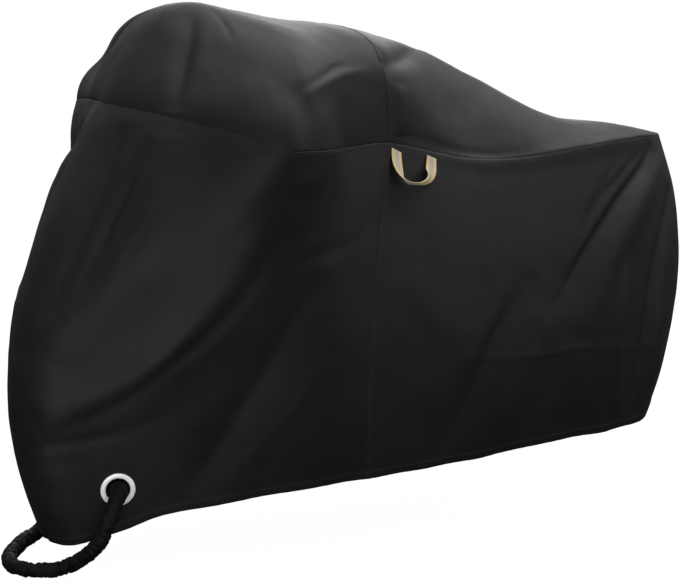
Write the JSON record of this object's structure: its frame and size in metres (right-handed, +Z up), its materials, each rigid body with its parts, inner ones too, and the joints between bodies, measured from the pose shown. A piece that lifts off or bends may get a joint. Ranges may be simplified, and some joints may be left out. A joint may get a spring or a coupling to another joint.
{
  "type": "fitted scooter cover",
  "caption": "Black coated cloth cover draped over a parked scooter, hollow beneath, with sewn panels, lock eyelets low at the front, a lock rope and a webbing pull loop.",
  "frame": {"origin": "the point under the hood's crown where the scooter carries the cover, on its middle plane", "axes": "+X to the scooter's rear, +Y to the scooter's right side, +Z up"},
  "size_m": [2.0505, 0.8604, 1.2865],
  "materials": {
    "cover_cloth": "satin coated weave",
    "eyelet_metal": "bright plated",
    "loop_webbing": "woven, with a grey reflective middle band",
    "rope_sleeve": "matt shirred sleeve"
  },
  "bodies": {
    "root": {"hood_panel": "cover_cloth", "seat_panel": "cover_cloth", "front_panel": "cover_cloth", "rear_panel": "cover_cloth", "eyelet_left": "eyelet_metal", "eyelet_right": "eyelet_metal", "pull_loop": "loop_webbing", "lock_rope": "rope_sleeve"}
  },
  "joints": []
}
